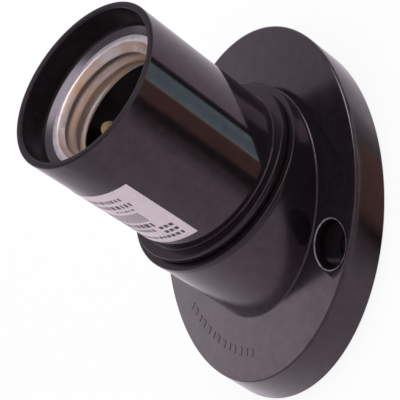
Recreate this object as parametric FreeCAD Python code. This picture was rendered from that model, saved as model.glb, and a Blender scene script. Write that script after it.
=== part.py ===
import FreeCAD, Part
import math
import os
from FreeCAD import Vector

# Inclined wall and ceiling lamp holder for screw-in lamps, moulded in black phenolic.
# All lengths are millimetres. The row frame has its origin midway between the two
# fixing screw holes, on the back plane, with +Z out of the wall. The tube leans to -Y.
# Most pieces are made upright, in the tube's own frame: its Z runs along the tube axis,
# and its origin is where that axis meets the front face of the base plate.

# Lean of the tube and the base plate
tube_lean_deg = 25.4
plate_thickness = 8.8
plate_wall = 3.0
plate_roof = 3.0
front_edge_break = 0.5
screw_hole_radius = 2.4
counterbore_radius = 5.4
counterbore_depth = 4.6
counterbore_edge_break = 0.35
neck_to_counterbore = 1.2
counterbore_to_edge = 1.3
boss_wall = 1.8
rib_thickness = 1.8
rib_setback = 1.0
rib_angles_deg = (35.0, 90.0, 145.0, 215.0, 270.0, 325.0)

# Neck, with the bore that the tube's skirt screws into and the shelf for the insert
neck_rim_height = 14.05
neck_wall = 2.7
neck_bead_proud = 0.15
neck_bead_height = 1.5
neck_edge_break = 0.3
shelf_height = 3.0
shelf_width = 2.5
chamber_wall = 2.8

# Metal sleeve that the lamp screws into
lamp_thread_radius = 13.35
sheet = 0.35
sleeve_clearance = 0.25
sleeve_flare = 1.1
sleeve_funnel_depth = 1.5
sleeve_lip_width = 1.45
sleeve_roll_grip = 1.25

# Tube shell
mouth_height = 54.55
mouth_wall = 1.55
mouth_depth = 6.35
mouth_draft = 0.7
mouth_edge_break = 0.3
shell_wall = 2.25
shell_taper = 0.5
chamber_beyond_roll = 2.05
collar_top_below_mouth = 7.25
collar_length = 6.6
flange_setback = 1.4
flange_thickness = 1.95
flange_edge_break = 0.3
parting_gap = 0.25
thread_clearance = 0.3
skirt_step = 1.15
skirt_wall = 2.0
skirt_seat_gap = 0.1

# Ceramic insert
insert_below_collar = 18.7
insert_wall = 3.0
insert_floor = 4.3
insert_flange_clearance = 1.0
insert_flange_thickness = 3.0
insert_spigot_clearance = 0.3
insert_spigot_length = 2.5
insert_tower_clearance = 0.65
insert_recess_depth = 1.2
insert_rim_width = 2.0
barrier_thickness = 2.4
barrier_setback = 1.5
key_width = 4.0
key_height = 1.5
key_clearance = 0.2
key_reach = 1.3
contact_azimuth_deg = 20.0

# Contacts and terminal plates
strip = 0.5
centre_strip_width = 5.0
centre_rise = 6.7
centre_foot_length = 6.8
centre_bend = 0.9
centre_tip_drop = 1.1
side_strip_width = 4.0
side_tip_below_collar = 3.1
side_foot_margin = 3.2
side_rim_gap = 0.8
side_lean_in = 1.4
side_lean_length = 3.7
side_tip_length = 1.9
side_bend = 0.6
terminal_plate_thickness = 1.6
terminal_plate_margin = 3.2
terminal_plate_gap = 1.4
terminal_screw_inset = 4.05
terminal_screw_angle_deg = 47.0
screw_fit = 0.05

# Screws and washers
fixing_shank_radius = 1.45
fixing_head_radius = 2.6
fixing_head_height = 1.6
fixing_tip_past_plate = 0.9
fixing_hole_clearance = 0.3
terminal_shank_radius = 1.7
terminal_head_radius = 2.9
terminal_head_height = 2.1
terminal_tip_past_plate = 1.2
terminal_recess_clearance = 0.4
slot_width = 0.8
slot_depth = 0.9
clamp_side = 6.0
clamp_corner_break = 0.6
clamp_thickness = 1.0
spring_outer_radius = 2.8
spring_thickness = 0.8
spring_slit = 0.6

# Rating label on the tube
label_below_mouth = 12.55
label_above_flange = 3.85
label_start_deg = 55.0
label_end_deg = 140.0
label_thickness = 0.12

# Radii of the sleeve, and of the shell around it
sleeve_outer_radius = lamp_thread_radius + sheet
sleeve_funnel_radius = lamp_thread_radius + sleeve_flare
sleeve_lip_radius = sleeve_funnel_radius + sleeve_lip_width
collar_bore_radius = sleeve_outer_radius + sleeve_clearance
sleeve_roll_radius = collar_bore_radius + sleeve_roll_grip
shell_chamber_radius = sleeve_roll_radius + chamber_beyond_roll
shell_foot_radius = shell_chamber_radius + shell_wall
mouth_radius = shell_foot_radius + shell_taper
skirt_inner_radius = shell_chamber_radius + skirt_step
skirt_outer_radius = skirt_inner_radius + skirt_wall

# Radii and spacing of the base, which follow the skirt
neck_bore_radius = skirt_outer_radius + thread_clearance
neck_radius = neck_bore_radius + neck_wall
flange_radius = neck_radius - flange_setback
chamber_radius = neck_bore_radius - shelf_width
screw_spacing = 2 * (neck_radius + neck_to_counterbore + counterbore_radius)
plate_radius = screw_spacing / 2 + counterbore_radius + counterbore_to_edge

# Radii of the insert, which stands in the neck and in the shell
insert_flange_radius = neck_bore_radius - insert_flange_clearance
insert_tower_radius = shell_chamber_radius - insert_tower_clearance
insert_cavity_radius = insert_tower_radius - insert_wall
insert_recess_radius = insert_tower_radius - insert_rim_width

# Heights along the tube axis that several pieces share
skirt_bottom = shelf_height + insert_flange_thickness + skirt_seat_gap
flange_bottom = neck_rim_height + parting_gap
flange_top = flange_bottom + flange_thickness
collar_top = mouth_height - collar_top_below_mouth
collar_bottom = collar_top - collar_length
label_high = mouth_height - label_below_mouth
label_low = flange_top + label_above_flange

# Levels and places in the insert
insert_top_height = collar_bottom - insert_below_collar
insert_floor_top = insert_top_height - insert_recess_depth
insert_ceiling = insert_floor_top - insert_floor
plate_underside = insert_ceiling - terminal_plate_thickness
fixing_offset = insert_cavity_radius - terminal_plate_margin - terminal_plate_gap
terminal_offset = insert_cavity_radius - terminal_screw_inset
side_tip_height = collar_bottom - side_tip_below_collar
reach = 200.0
upright = Vector(0, 0, 1)


def straight(start, end):
    """Line between two points, as a spline where it slants, so that a taper takes few facets."""
    line = Part.LineSegment(start, end)
    slants = abs(end.x - start.x) > 1e-6 and abs(end.z - start.z) > 1e-6
    return line.toBSpline().toShape() if slants else line.toShape()


def outline(corners, rounded):
    """Closed wire in the XZ plane from (x, z, corner size) points, with arcs or with chamfers."""
    count = len(corners)
    starts, ends, arcs = [], [], []
    for i in range(count):
        x, z, radius = corners[i]
        here = Vector(x, 0, z)
        before = Vector(corners[i - 1][0], 0, corners[i - 1][1])
        after_corner = corners[(i + 1) % count]
        after = Vector(after_corner[0], 0, after_corner[1])
        back = (before - here).normalize()
        ahead = (after - here).normalize()
        half = back.getAngle(ahead) / 2
        if radius <= 0 or half > math.radians(89.5):
            starts.append(here)
            ends.append(here)
            arcs.append(None)
            continue
        run = radius / math.tan(half)
        start = here + back * run
        end = here + ahead * run
        starts.append(start)
        ends.append(end)
        if rounded:
            centre = here + (back + ahead).normalize() * (radius / math.sin(half))
            middle = centre + (here - centre).normalize() * radius
            arcs.append(Part.Arc(start, middle, end).toShape())
        else:
            arcs.append(straight(start, end))
    edges = []
    for i in range(count):
        if arcs[i] is not None:
            edges.append(arcs[i])
        following = starts[(i + 1) % count]
        if (following - ends[i]).Length > 1e-6:
            edges.append(straight(ends[i], following))
    return Part.Wire(edges)


def turned(corners):
    """Solid of revolution about Z from (radius, height, chamfer) points."""
    return Part.Face(outline(corners, False)).revolve(Vector(0, 0, 0), upright, 360)


def bent_strip(path, thickness, width, inner_bend):
    """Sheet strip along (x, z) points, lying on the left of its path, centred on y = 0."""
    count = len(path)
    points = [Vector(x, 0, z) for x, z in path]
    steps = [(points[i + 1] - points[i]).normalize() for i in range(count - 1)]
    sides = [Vector(-s.z, 0, s.x) for s in steps]
    near = [(points[0].x, points[0].z, 0)]
    far_end = points[0] + sides[0] * thickness
    far = [(far_end.x, far_end.z, 0)]
    for i in range(1, count - 1):
        miter = (sides[i - 1] + sides[i]).normalize()
        offset = points[i] + miter * (thickness / miter.dot(sides[i]))
        turns_left = steps[i - 1].x * steps[i].z - steps[i - 1].z * steps[i].x > 0
        near_bend = inner_bend + (thickness if turns_left else 0)
        far_bend = inner_bend + (0 if turns_left else thickness)
        near.append((points[i].x, points[i].z, near_bend))
        far.append((offset.x, offset.z, far_bend))
    last = points[-1] + sides[-1] * thickness
    near.append((points[-1].x, points[-1].z, 0))
    far.append((last.x, last.z, 0))
    face = Part.Face(outline(near + far[::-1], True))
    strip_solid = face.extrude(Vector(0, width, 0))
    strip_solid.translate(Vector(0, -width / 2, 0))
    return strip_solid


def stadium(start, end, radius, bottom, height):
    """Flat plate with round ends about two (x, y) centres."""
    first = Part.makeCylinder(radius, height, Vector(start[0], start[1], bottom))
    second = Part.makeCylinder(radius, height, Vector(end[0], end[1], bottom))
    along = Vector(end[0] - start[0], end[1] - start[1], 0)
    across = Vector(-along.y, along.x, 0).normalize() * radius
    low = Vector(start[0], start[1], bottom)
    loop = [low + across, low + along + across, low + along - across, low - across]
    middle = Part.Face(Part.makePolygon(loop + loop[:1])).extrude(upright * height)
    return first.fuse([middle, second]).removeSplitter()


def broken_edges(solid, size, wanted):
    """Chamfer of the edges that the test function picks."""
    edges = [edge for edge in solid.Edges if wanted(edge)]
    return solid.makeChamfer(size, edges)


def along_tube(solid):
    """Move a solid from the tube's frame to the row frame."""
    moved = solid.copy()
    moved.rotate(Vector(0, 0, 0), Vector(1, 0, 0), tube_lean_deg)
    moved.translate(Vector(0, 0, plate_thickness))
    return moved


def at_contacts(solid):
    """Turn a solid of the insert to the azimuth of its contacts, then lean it."""
    turned_solid = solid.copy()
    turned_solid.rotate(Vector(0, 0, 0), upright, contact_azimuth_deg)
    return along_tube(turned_solid)


def slab(bottom, top):
    """Everything between two heights of the row frame."""
    size = 2 * reach
    corner = Vector(-reach, -reach, bottom)
    return Part.makeBox(size, size, top - bottom, corner)


def tube_cylinder(radius, bottom=-reach, top=reach):
    """Round bar along the tube axis, in the row frame."""
    bar = Part.makeCylinder(radius, top - bottom, Vector(0, 0, bottom))
    return along_tube(bar)


# Base moulding

def screw_places():
    return [Vector(side * screw_spacing / 2, 0, 0) for side in (-1, 1)]


def neck_tube():
    bead_radius = neck_radius + neck_bead_proud
    bead_bottom = neck_rim_height - neck_bead_height
    corners = [
        (0, -reach, 0),
        (neck_radius, -reach, 0),
        (neck_radius, bead_bottom, 0),
        (bead_radius, bead_bottom, 0),
        (bead_radius, neck_rim_height, neck_edge_break),
        (0, neck_rim_height, 0),
    ]
    return along_tube(turned(corners)).common(slab(plate_thickness - plate_roof / 2, reach))


def base():
    plate = tube_cylinder(plate_radius).common(slab(0, plate_thickness))
    plate = broken_edges(
        plate,
        front_edge_break,
        lambda edge: edge.BoundBox.ZMin > plate_thickness - 0.01,
    )
    hollow = tube_cylinder(plate_radius - plate_wall)
    hollow = hollow.common(slab(-1, plate_thickness - plate_roof))
    chamber = tube_cylinder(chamber_radius + chamber_wall).common(slab(0, plate_thickness))
    boss_radius = counterbore_radius + boss_wall
    bosses = [Part.makeCylinder(boss_radius, plate_thickness, place) for place in screw_places()]
    ribs = []
    rib_height = plate_thickness - plate_roof / 2 - rib_setback
    for angle in rib_angles_deg:
        corner = Vector(0, -rib_thickness / 2, rib_setback)
        rib = Part.makeBox(reach, rib_thickness, rib_height, corner)
        rib.rotate(Vector(0, 0, 0), upright, angle)
        rib.translate(Vector(0, plate_thickness / 2 * math.tan(math.radians(tube_lean_deg)), 0))
        ribs.append(rib)
    inside = tube_cylinder(plate_radius - plate_wall / 2).common(
        slab(0, plate_thickness - plate_roof / 2)
    )
    stiffening = bosses[0].fuse([bosses[1]] + ribs).common(inside)
    body = plate.cut(hollow).fuse([chamber, stiffening])
    body = body.fuse(neck_tube()).removeSplitter()
    body = body.cut(tube_cylinder(neck_bore_radius, shelf_height, reach))
    body = body.cut(tube_cylinder(chamber_radius))
    body = body.cut(at_contacts(key_bars(key_clearance)))
    for place in screw_places():
        front = place + Vector(0, 0, plate_thickness - counterbore_depth)
        body = body.cut(Part.makeCylinder(counterbore_radius, reach, front))
        body = body.cut(Part.makeCylinder(screw_hole_radius, reach, place - upright * 1))
    return broken_edges(body, counterbore_edge_break, is_counterbore_mouth)


def is_counterbore_mouth(edge):
    box = edge.BoundBox
    flat = box.ZMax - box.ZMin < 0.01 and abs(box.ZMax - plate_thickness) < 0.01
    return flat and abs(box.XLength / 2 - counterbore_radius) < 0.05


# Shell of the tube, with its flange, threaded skirt and inner collar

def shell_radius_at(height):
    rise = (height - flange_top) / (mouth_height - flange_top)
    return shell_foot_radius + (mouth_radius - shell_foot_radius) * rise


def shell():
    mouth_inner = mouth_radius - mouth_wall
    step_height = mouth_height - mouth_depth
    step_radius = mouth_inner - mouth_draft
    funnel_radius = sleeve_funnel_radius + sheet + sleeve_clearance
    funnel_low = collar_top - sleeve_funnel_depth
    corners = [
        (mouth_radius, mouth_height, mouth_edge_break),
        (mouth_inner, mouth_height, mouth_edge_break),
        (step_radius, step_height, 0),
        (sleeve_lip_radius + sleeve_clearance, collar_top, 0),
        (funnel_radius, collar_top, 0),
        (collar_bore_radius, funnel_low, 0),
        (collar_bore_radius, collar_bottom, 0),
        (shell_chamber_radius, collar_bottom, 0),
        (shell_chamber_radius, flange_bottom, 0),
        (skirt_inner_radius, flange_bottom - skirt_inner_radius + shell_chamber_radius, 0),
        (skirt_inner_radius, skirt_bottom, 0),
        (skirt_outer_radius, skirt_bottom, 0),
        (skirt_outer_radius, flange_bottom, 0),
        (flange_radius, flange_bottom, 0),
        (flange_radius, flange_top, flange_edge_break),
        (shell_foot_radius, flange_top, 0),
    ]
    return along_tube(turned(corners))


# Metal sleeve that the lamp screws into, clamped about the shell's collar

def threaded_sleeve():
    top = collar_top + sheet
    funnel_low = top - sleeve_funnel_depth
    foot = collar_bottom - sheet
    corners = [
        (sleeve_lip_radius, top, 0),
        (sleeve_funnel_radius, top, 0),
        (lamp_thread_radius, funnel_low, 0),
        (lamp_thread_radius, foot, 0),
        (sleeve_roll_radius, foot, 0),
        (sleeve_roll_radius, foot + sheet, 0),
        (sleeve_outer_radius, foot + sheet, 0),
        (sleeve_outer_radius, funnel_low, 0),
        (sleeve_funnel_radius + sheet, top - sheet, 0),
        (sleeve_lip_radius, top - sheet, 0),
    ]
    return along_tube(turned(corners))


# Ceramic insert that carries the contacts

def fixing_place(side):
    return (side * fixing_offset, 0)


def terminal_place(side):
    angle = math.radians(terminal_screw_angle_deg)
    return (side * terminal_offset * math.cos(angle), terminal_offset * math.sin(angle))


def key_bars(clearance):
    """Two square lugs across the spigot, which stop the insert from turning."""
    width = key_width + 2 * clearance
    length = 2 * (chamber_radius + key_reach + clearance)
    low = shelf_height - key_height - clearance
    corner = Vector(-width / 2, -length / 2, low)
    return Part.makeBox(width, length, shelf_height - low, corner)


def insert():
    spigot_radius = chamber_radius - insert_spigot_clearance
    spigot_low = shelf_height - insert_spigot_length
    flange_high = shelf_height + insert_flange_thickness
    corners = [
        (0, spigot_low, 0),
        (spigot_radius, spigot_low, 0),
        (spigot_radius, shelf_height, 0),
        (insert_flange_radius, shelf_height, 0),
        (insert_flange_radius, flange_high, 0),
        (insert_tower_radius, flange_high, 0),
        (insert_tower_radius, insert_top_height, 0),
        (insert_recess_radius, insert_top_height, 0),
        (insert_recess_radius, insert_floor_top, 0),
        (0, insert_floor_top, 0),
    ]
    body = turned(corners)
    cavity = [
        (0, spigot_low - 1, 0),
        (insert_cavity_radius, spigot_low - 1, 0),
        (insert_cavity_radius, insert_ceiling, 0),
        (0, insert_ceiling, 0),
    ]
    body = body.cut(turned(cavity))
    barrier_low = spigot_low + barrier_setback
    barrier_high = insert_ceiling + insert_floor / 2
    barrier = Part.makeBox(
        barrier_thickness,
        2 * insert_tower_radius,
        barrier_high - barrier_low,
        Vector(-barrier_thickness / 2, -insert_tower_radius, barrier_low),
    )
    inside_radius = (insert_cavity_radius + insert_tower_radius) / 2
    inside = Part.makeCylinder(inside_radius, barrier_high, Vector(0, 0, 0))
    body = body.fuse(barrier.common(inside)).removeSplitter()
    keys = key_bars(0)
    keys = keys.common(Part.makeCylinder(chamber_radius + key_reach, 2 * insert_top_height))
    hollow = Part.makeCylinder(insert_cavity_radius + 1, 2 * insert_top_height)
    body = body.fuse(keys.cut(hollow)).removeSplitter()
    for side in (-1, 1):
        x, y = fixing_place(side)
        hole_radius = fixing_shank_radius + fixing_hole_clearance
        through = Part.makeCylinder(hole_radius, reach, Vector(x, y, insert_ceiling - 1))
        x, y = terminal_place(side)
        recess_radius = terminal_shank_radius + terminal_recess_clearance
        recess_depth = terminal_tip_past_plate + terminal_recess_clearance
        low = Vector(x, y, insert_ceiling - 1)
        recess = Part.makeCylinder(recess_radius, recess_depth + 1, low)
        body = body.cut(through).cut(recess)
    return at_contacts(body)


# Contacts, their fixing screws and the wire terminals

def fixing_hole(side, bottom, height):
    x, y = fixing_place(side)
    radius = fixing_shank_radius + screw_fit
    return Part.makeCylinder(radius, height, Vector(x, y, bottom))


def centre_contact():
    foot = insert_floor_top
    tip = foot + centre_rise - strip
    half_foot = centre_foot_length / 2
    path = [
        (-fixing_offset - half_foot, foot),
        (-fixing_offset + half_foot, foot),
        (-centre_strip_width / 3, tip - centre_bend / 3),
        (centre_strip_width / 6, tip),
        (centre_strip_width / 2, tip - centre_tip_drop),
    ]
    leaf = bent_strip(path, strip, centre_strip_width, centre_bend)
    return at_contacts(leaf.cut(fixing_hole(-1, foot - 1, 3)))


def side_contact():
    foot = insert_floor_top
    top = side_tip_height
    back = insert_recess_radius - side_rim_gap
    knuckle = back - side_lean_in
    path = [
        (fixing_offset - side_foot_margin, foot),
        (back, foot),
        (back, top - side_tip_length - side_lean_length),
        (knuckle, top - side_tip_length),
        (knuckle + strip, top),
    ]
    tongue = bent_strip(path, strip, side_strip_width, side_bend)
    return at_contacts(tongue.cut(fixing_hole(1, foot - 1, 3)))


def slotted(head, x, y, slot_floor, upwards):
    """Cut a driver slot in a screw's head."""
    low = slot_floor if upwards else slot_floor - reach
    corner = Vector(x - reach / 2, y - slot_width / 2, low)
    return head.cut(Part.makeBox(reach, slot_width, reach, corner))


def fixing_screw(side):
    x, y = fixing_place(side)
    seat = insert_floor_top + strip
    top = seat + fixing_head_height
    tip = plate_underside - fixing_tip_past_plate
    corners = [
        (0, tip, 0),
        (fixing_shank_radius, tip, 0),
        (fixing_shank_radius, seat, 0),
        (fixing_head_radius, seat, 0),
        (fixing_head_radius, top, 0),
        (0, top, 0),
    ]
    screw = turned(corners)
    screw.translate(Vector(x, y, 0))
    return at_contacts(slotted(screw, x, y, top - slot_depth, True))


def terminal_plate(side):
    plate = stadium(
        fixing_place(side),
        terminal_place(side),
        terminal_plate_margin,
        plate_underside,
        terminal_plate_thickness,
    )
    plate = plate.cut(fixing_hole(side, plate_underside - 1, reach))
    x, y = terminal_place(side)
    radius = terminal_shank_radius + screw_fit
    tapped = Part.makeCylinder(radius, reach, Vector(x, y, plate_underside - 1))
    return at_contacts(plate.cut(tapped))


def clamp_washer(side):
    x, y = terminal_place(side)
    half = clamp_side / 2
    top = plate_underside
    low = top - clamp_thickness
    body = Part.makeBox(clamp_side, clamp_side, clamp_thickness, Vector(-half, -half, low))
    body = broken_edges(
        body,
        clamp_corner_break,
        lambda edge: edge.BoundBox.ZLength > clamp_thickness - 0.01,
    )
    body = body.cut(Part.makeCylinder(terminal_shank_radius + screw_fit, reach, Vector(0, 0, low - 1)))
    body.rotate(Vector(0, 0, 0), upright, math.degrees(math.atan2(y, x)))
    body.translate(Vector(x, y, 0))
    return at_contacts(body)


def spring_washer(side):
    x, y = terminal_place(side)
    low = plate_underside - clamp_thickness - spring_thickness
    inner = terminal_shank_radius + screw_fit
    ring = Part.makeCylinder(spring_outer_radius, spring_thickness, Vector(x, y, low))
    ring = ring.cut(Part.makeCylinder(inner, reach, Vector(x, y, low - 1)))
    corner = Vector(x, y - spring_slit / 2, low - 1)
    slit = Part.makeBox(reach, spring_slit, reach, corner)
    return at_contacts(ring.cut(slit))


def terminal_screw(side):
    x, y = terminal_place(side)
    seat = plate_underside - clamp_thickness - spring_thickness
    bottom = seat - terminal_head_height
    tip = plate_underside + terminal_plate_thickness + terminal_tip_past_plate
    corners = [
        (0, bottom, 0),
        (terminal_head_radius, bottom, 0),
        (terminal_head_radius, seat, 0),
        (terminal_shank_radius, seat, 0),
        (terminal_shank_radius, tip, 0),
        (0, tip, 0),
    ]
    screw = turned(corners)
    screw.translate(Vector(x, y, 0))
    return at_contacts(slotted(screw, x, y, bottom + slot_depth, False))


# Label on the shell

def label():
    low, high = shell_radius_at(label_low), shell_radius_at(label_high)
    corners = [
        (low, label_low, 0),
        (low + label_thickness, label_low, 0),
        (high + label_thickness, label_high, 0),
        (high, label_high, 0),
    ]
    section = Part.Face(outline(corners, False))
    skin = section.revolve(Vector(0, 0, 0), upright, label_end_deg - label_start_deg)
    skin.rotate(Vector(0, 0, 0), upright, label_start_deg)
    return along_tube(skin)


def main():
    os.makedirs("parts", exist_ok=True)
    pieces = {
        "base": base(),
        "shell": shell(),
        "threaded_sleeve": threaded_sleeve(),
        "insert": insert(),
        "centre_contact": centre_contact(),
        "side_contact": side_contact(),
        "rating_label": label(),
    }
    for side, pole, contact in ((-1, "live", "centre"), (1, "neutral", "side")):
        pieces[contact + "_fixing_screw"] = fixing_screw(side)
        pieces[pole + "_terminal_plate"] = terminal_plate(side)
        pieces[pole + "_clamp_washer"] = clamp_washer(side)
        pieces[pole + "_spring_washer"] = spring_washer(side)
        pieces[pole + "_terminal_screw"] = terminal_screw(side)
    for name, solid in pieces.items():
        solid.exportStep("parts/" + name + ".step")
        print(name, len(solid.Solids), "solid", round(solid.Volume, 1), "mm3", solid.isValid())


main()
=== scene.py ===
import math
import random

import bmesh
import bpy
from mathutils import Matrix, Vector

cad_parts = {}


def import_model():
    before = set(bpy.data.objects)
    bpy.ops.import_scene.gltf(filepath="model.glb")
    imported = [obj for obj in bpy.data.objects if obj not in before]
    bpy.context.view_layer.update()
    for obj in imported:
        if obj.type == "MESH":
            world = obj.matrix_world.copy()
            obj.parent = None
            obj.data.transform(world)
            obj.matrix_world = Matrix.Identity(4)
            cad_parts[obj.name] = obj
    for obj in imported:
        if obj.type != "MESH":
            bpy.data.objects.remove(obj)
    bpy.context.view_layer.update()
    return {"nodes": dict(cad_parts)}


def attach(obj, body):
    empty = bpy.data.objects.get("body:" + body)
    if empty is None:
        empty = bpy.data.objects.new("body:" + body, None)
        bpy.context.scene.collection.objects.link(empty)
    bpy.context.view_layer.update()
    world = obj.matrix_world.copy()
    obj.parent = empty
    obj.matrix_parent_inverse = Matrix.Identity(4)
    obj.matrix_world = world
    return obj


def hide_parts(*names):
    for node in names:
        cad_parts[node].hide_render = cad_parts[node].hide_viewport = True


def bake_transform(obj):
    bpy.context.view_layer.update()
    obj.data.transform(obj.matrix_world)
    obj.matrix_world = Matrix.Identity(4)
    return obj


# Looks of an inclined lamp holder in black phenolic. Lengths are millimetres up to the
# point where a mesh is made, which is in metres. Most pieces are drawn in the tube's own
# frame: its Z runs along the tube axis, and its origin is where that axis meets the
# front face of the base plate.

MM = 0.001

# Lean of the tube and the base plate
tube_lean = math.radians(25.4)
plate_thickness = 8.8
plate_radius = 36.7
plate_wall = 3.0
plate_roof = 3.0
front_edge_round = 0.6
back_edge_round = 0.3
screw_spacing = 60.0
screw_hole_radius = 2.4
counterbore_radius = 5.4
counterbore_depth = 4.6
counterbore_edge_round = 0.3
hidden_edge_round = 0.3
hidden_corner_round = 0.5
boss_wall = 1.8
rib_thickness = 1.8
rib_setback = 1.0
rib_start, rib_end = 15, 45
rib_angles = [math.radians(a) for a in (35, 90, 145, 215, 270, 325)]

# Plain raised dashes on the front of the plate
dash_start = math.radians(63.0)
dash_radius = 33.6
dash_length = 2.3
dash_relief = 0.12
dash_sunk = 0.3
dash_slope = 0.3
dash_gap = 0.8
dash_widths = (1.0, 1.8, 1.0, 1.8, 1.8, 1.0, 1.8, 1.8, 1.0, 1.8, 1.8, 1.0, 1.8)

# Neck, with its rim bead and the thread for the tube's skirt
neck_radius = 23.4
neck_rim_height = 14.05
neck_bead_proud = 0.15
neck_bead_height = 1.5
neck_foot_round = 0.45
neck_edge_round = 0.22
neck_bore_radius = 20.7
shelf_height = 3.0
chamber_radius = 18.2
chamber_wall = 2.8
joint_thread_pitch = 2.5
joint_thread_depth = 0.75
bore_thread_above_shelf = 3.5
bore_thread_below_rim = 0.6

# Tube shell
mouth_height = 54.55
mouth_radius = 20.0
shell_foot_radius = 19.5
mouth_wall = 1.55
mouth_depth = 6.35
mouth_draft = 0.7
mouth_edge_round = 0.4
shell_wall = 2.25
collar_top_below_mouth = 7.25
collar_length = 6.6
flange_radius = 22.0
flange_thickness = 1.95
flange_edge_round = 0.25
parting_gap = 0.25
thread_clearance = 0.3
skirt_wall = 2.0

# Screwed metal sleeve
lamp_thread_radius = 13.35
lamp_thread_pitch = 3.63
lamp_thread_depth = 1.15
sheet = 0.35
sleeve_clearance = 0.25
sleeve_flare = 1.1
sleeve_funnel_depth = 1.5
sleeve_lip_width = 1.45
sleeve_roll_grip = 1.25
sleeve_neck = 0.45
lip_bend = ((0.35, 0.0), (0.1, 0.07), (-0.08, 0.25))

# Ceramic insert
insert_height = 19.0
insert_wall = 3.0
insert_floor = 4.3
insert_flange_clearance = 1.0
insert_flange_thickness = 3.0
insert_spigot_clearance = 0.3
insert_spigot_length = 2.5
insert_tower_clearance = 0.65
insert_recess_depth = 1.2
insert_rim_width = 2.0
insert_edge_round = 0.5
barrier_thickness = 2.4
barrier_setback = 1.5
key_width = 4.0
key_height = 1.5
key_clearance = 0.2
key_reach = 1.3
skirt_seat_gap = 0.1
contact_azimuth = math.radians(20.0)

# Contacts, plates and screws
strip = 0.5
strip_edge_round = 0.12
centre_strip_width = 5.0
centre_rise = 6.7
centre_foot_length = 6.8
centre_bend = 0.9
centre_tip_drop = 1.1
centre_tip_round = 1.6
side_strip_width = 4.0
side_rise = 16.8
side_foot_end = 5.8
side_rim_gap = 0.8
side_lean_in = 1.4
side_lean_length = 3.7
side_tip_length = 1.9
side_bend = 0.6
side_tip_round = 1.9
terminal_plate_thickness = 1.6
terminal_plate_margin = 3.2
terminal_plate_gap = 1.4
terminal_screw_inset = 4.05
terminal_screw_angle = math.radians(47.0)
fixing_shank_radius = 1.45
fixing_head_radius = 2.6
fixing_head_height = 1.6
fixing_tip_past_plate = 0.9
terminal_shank_radius = 1.7
terminal_head_radius = 2.9
terminal_head_height = 2.1
terminal_tip_past_plate = 1.2
clamp_thickness = 1.0
spring_thickness = 0.8
slot_width = 0.8
slot_depth = 0.9
head_edge_round = 0.45
fixing_hole_clearance = 0.3
terminal_recess_clearance = 0.4
screw_thread_pitch = 0.6
screw_thread_depth = 0.25

# Label on the tube
label_below_mouth = 12.55
label_length = 21.9
label_start = math.radians(55.0)
label_end = math.radians(140.0)
label_thickness = 0.12
label_columns, label_rows = 170, 110
label_seed = 4

# Generic print, in cells of the label: drop from its upper end, height, start and end around
# the tube, and the widths of the marks and of the gaps
label_marks = (
    (13, 6, 28, 110, (3, 4, 6), (2, 3)),
    (25, 7, 24, 112, (3, 4, 6), (2, 3)),
    (37, 3, 30, 62, (2, 4), (2, 3)),
    (45, 19, 32, 100, (2,), (2,)),
    (68, 8, 34, 104, (4, 6, 8), (2, 3)),
    (80, 6, 44, 96, (3, 4), (2, 3)),
    (79, 5, 12, 34, (6,), (2,)),
    (88, 5, 12, 34, (6,), (2,)),
    (97, 5, 12, 92, (4, 6), (2, 3)),
)

# Even materials: metallic, dark and light colour and their noise, low and high roughness and
# its noise, strength and depth of the relief and its noise. A noise is (scale, detail).
even_looks = {
    "glazed_porcelain": (0, (0.70, 0.68, 0.63), (0.80, 0.79, 0.75), (0.3, 4),
        (0.18, 0.32), (0.4, 4), (0.2, 0.03), (1.2, 4)),
    "brass_strip": (0.7, (0.90, 0.62, 0.28), (0.98, 0.76, 0.42), (0.5, 5),
        (0.36, 0.46), (1, 4), (0.15, 0.01), (3, 3)),
    "zinc_plated_steel": (1, (0.48, 0.47, 0.43), (0.66, 0.66, 0.62), (0.8, 5),
        (0.28, 0.42), (1.5, 4), (0.15, 0.01), (3, 3)),
    "spring_steel": (1, (0.20, 0.19, 0.18), (0.32, 0.31, 0.30), (0.8, 5),
        (0.3, 0.45), (1.5, 4), (0.15, 0.01), (3, 3)),
    "label_paper": (0, (0.63, 0.55, 0.55), (0.70, 0.62, 0.62), (0.4, 4),
        (0.32, 0.45), (0.6, 4), (0.1, 0.02), (1.5, 3)),
}

# Camera, fitted to the photograph's outlines
camera_place = Vector((-312.98, -82.67, 233.33))
camera_turn_deg = (5.437, 56.862, -158.723)
camera_lens = 156.97
sensor_width = 36.0

# Floor and room, in metres and as glow
floor_half_width = 1.5
floor_gap = 0.0003
floor_glow = 0.88
glossy_floor = (0.97, 0.90, 0.98)
room_glow = (0.78, 0.72, 0.80)

# Painted reflections: glowing boards on the floor, hidden from the camera, that show only in the
# gloss of the walls and lay coloured streaks there: azimuth on the tube in degrees, and glow.
# tube_board_clear is (azimuth, height, rise per degree): past it the plate hides the lower end.
card_lift = 0.3
tube_board_low = 20.7
tube_board_high = 70.5
tube_board_clear = (194, 20.0, 0.4)
wall_board_low = 0.2
wall_board_past_plate = 1.5
card_pale = (0.85, 0.83, 0.86)
card_grey = (0.40, 0.37, 0.38)
card_dark = (0.05, 0.03, 0.03)
card_brown = (0.52, 0.30, 0.23)
card_cream = (1.7, 1.6, 1.3)
card_teal = (0.80, 1.45, 1.40)
card_blue = (0.75, 1.10, 1.20)
tube_bands = (
    (172, card_pale), (178, card_grey), (184, card_dark), (187.5, card_dark), (190, card_brown),
    (198.3, card_brown), (199.4, card_cream), (200.2, card_teal), (204, card_blue),
    (209, card_teal), (209.8, card_dark), (212.6, card_dark), (214, card_pale),
)
wall_bands = (
    (176, card_pale), (184, card_grey), (190, card_dark), (195, card_brown), (213, card_brown),
    (217, card_grey), (226, card_pale),
)

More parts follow.
